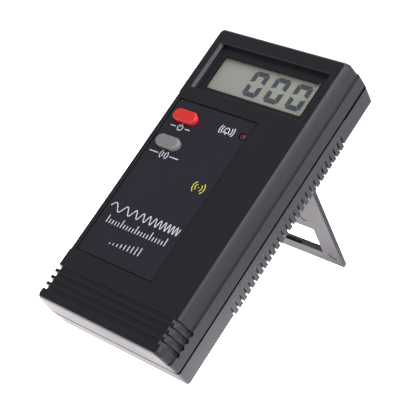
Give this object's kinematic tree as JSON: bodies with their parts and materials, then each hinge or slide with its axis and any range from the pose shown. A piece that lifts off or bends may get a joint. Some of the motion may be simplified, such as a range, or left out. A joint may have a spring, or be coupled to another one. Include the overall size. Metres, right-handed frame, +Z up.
{
  "type": "electromagnetic field meter",
  "caption": "Hand-held electromagnetic field meter in a black two-part case, with a digital display and press buttons, leaning on its fold-out back stand.",
  "frame": {"origin": "on the ground plane, at the middle of the footprint of the meter leaning on its opened stand", "axes": "+X across the case to the user's right, -Y towards the user in front of the display, +Z up"},
  "size_m": [0.07, 0.125, 0.094],
  "materials": {
    "black_abs": "fine spark-eroded texture",
    "door_abs": "fine spark-eroded texture",
    "label_print": "printed film",
    "clear_acrylic": "clear",
    "lcd": "reflective display glass",
    "red_plastic": "satin",
    "grey_plastic": "satin",
    "led_red": "tinted epoxy",
    "board": "solder resist",
    "chip": "moulded epoxy",
    "resistor": "chip resistor",
    "ceramic": "ceramic",
    "sleeve": "shrink sleeve",
    "trimmer_blue": "moulded",
    "trimmer_white": "moulded",
    "switch_black": "moulded",
    "plunger_white": "moulded",
    "buzzer_black": "moulded",
    "ferrite": "sintered",
    "copper_wire": "enamelled wire",
    "tin_plate": "tinned",
    "clip_nylon": "moulded",
    "rubber_strip": "conductive elastomer",
    "frame_black": "moulded",
    "battery_can": "printed steel can",
    "nickel": "nickel plate",
    "snap_vinyl": "soft vinyl",
    "wire_red": "vinyl insulation",
    "wire_black": "vinyl insulation",
    "foam": "closed-cell foam",
    "zinc": "zinc plate"
  },
  "bodies": {
    "case": {"front_case": "black_abs", "back_case": "black_abs", "face_label": "label_print", "display_window": "clear_acrylic", "power_switch": "switch_black", "hold_switch": "switch_black", "alarm_led": "led_red", "led_legs": "nickel", "lcd_glass": "lcd", "lcd_frame": "frame_black", "zebra_strips": "rubber_strip", "circuit_board": "board", "converter_chip": "chip", "amplifier_chips": "chip", "resistors": "resistor", "capacitors": "ceramic", "electrolytic_capacitors": "sleeve", "trimmer_base": "trimmer_blue", "buzzer": "buzzer_black", "coil_core": "ferrite", "field_coil": "copper_wire", "coil_clips": "clip_nylon", "antenna_plate": "tin_plate", "battery": "battery_can", "battery_terminals": "nickel", "battery_snap": "snap_vinyl", "lead_positive": "wire_red", "lead_negative": "wire_black", "battery_pad": "foam", "case_screws": "zinc", "board_screws": "zinc"},
    "stand": {"tilt_stand": "black_abs"},
    "battery_door": {"battery_door": "door_abs"},
    "power_key": {"power_button": "red_plastic", "power_plunger": "plunger_white"},
    "hold_key": {"hold_button": "grey_plastic", "hold_plunger": "plunger_white"},
    "trimmer_rotor": {"trimmer_rotor": "trimmer_white"}
  },
  "joints": [
    {"name": "stand_hinge", "type": "hinge", "parent": "case", "child": "stand", "pos_m": [0, 0.02832, 0.05339], "axis": [-1, 0, 0], "range_deg": [0, 81.6]},
    {"name": "battery_door_hinge", "type": "hinge", "parent": "case", "child": "battery_door", "pos_m": [0, -0.02357, 0.01782], "axis": [1, 0, 0], "range_deg": [0, 75]},
    {"name": "power_press", "type": "slide", "parent": "case", "child": "power_key", "axis": [0, 0.5549, -0.8319], "range_m": [0, 0.0012], "stiffness_N_per_m": 900, "springref_m": -0.0006},
    {"name": "hold_press", "type": "slide", "parent": "case", "child": "hold_key", "axis": [0, 0.5549, -0.8319], "range_m": [0, 0.0012], "stiffness_N_per_m": 900, "springref_m": -0.0006},
    {"name": "trimmer_turn", "type": "hinge", "parent": "case", "child": "trimmer_rotor", "pos_m": [-0.004, 0.00427, 0.0525], "axis": [0, -0.5549, 0.8319], "range_deg": [-130, 130]}
  ]
}
